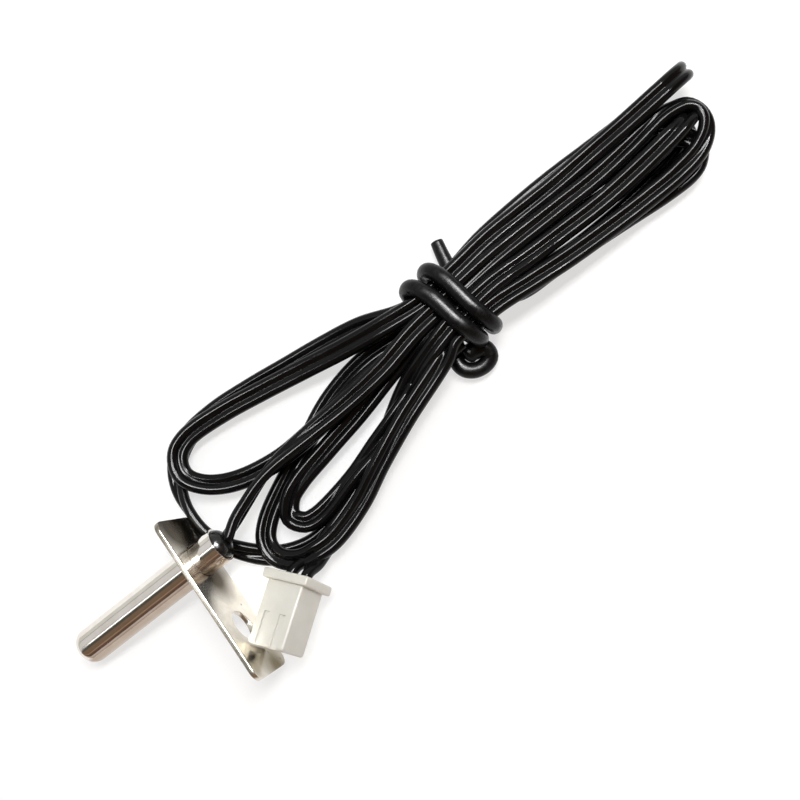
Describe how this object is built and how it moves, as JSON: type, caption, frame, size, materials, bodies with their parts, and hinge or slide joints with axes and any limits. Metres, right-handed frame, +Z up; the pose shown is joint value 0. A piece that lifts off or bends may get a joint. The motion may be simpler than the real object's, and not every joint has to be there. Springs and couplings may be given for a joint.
{
  "type": "bead thermistor",
  "caption": "Bead thermistor probe: a domed metal sheath through a flat screw bracket, with a flat black cable tied in a hank and a small ivory crimp connector.",
  "frame": {"origin": "on the ground plane, under the middle of the probe and its bracket, the cable and what is on it left out", "axes": "+Z up; +X in plan along the sheath, from its domed tip towards the cable; +Y level, along the bracket"},
  "size_m": [0.1165, 0.0372, 0.0104],
  "materials": {
    "sheath": "polished nickel plate",
    "bracket": "bright nickel plate",
    "seal": "glossy black epoxy",
    "filler": "matte",
    "bead": "glossy",
    "tinned": "tin plate",
    "copper": "bare copper strands",
    "sleeve": "satin",
    "cable": "glossy black vinyl",
    "tie": "satin black coating",
    "housing": "ivory nylon, satin"
  },
  "bodies": {
    "root": {"probe_tube": "sheath", "mounting_bracket": "bracket", "mouth_seal": "seal", "tip_resin": "filler", "thermistor_bead": "bead", "bead_lead_a": "tinned", "bead_lead_b": "tinned", "lead_sleeve_a": "sleeve", "lead_sleeve_b": "sleeve", "solder_joint_a": "tinned", "solder_joint_b": "tinned", "conductor_end_a": "copper", "conductor_end_b": "copper", "core_end_a": "cable", "core_end_b": "cable", "cable_lead": "cable", "cable_low_turn": "cable", "cable_hank": "cable", "core_tail_a": "cable", "core_tail_b": "cable", "hank_tie": "tie", "connector_housing": "housing", "contact_a": "tinned", "contact_b": "tinned"}
  },
  "joints": []
}
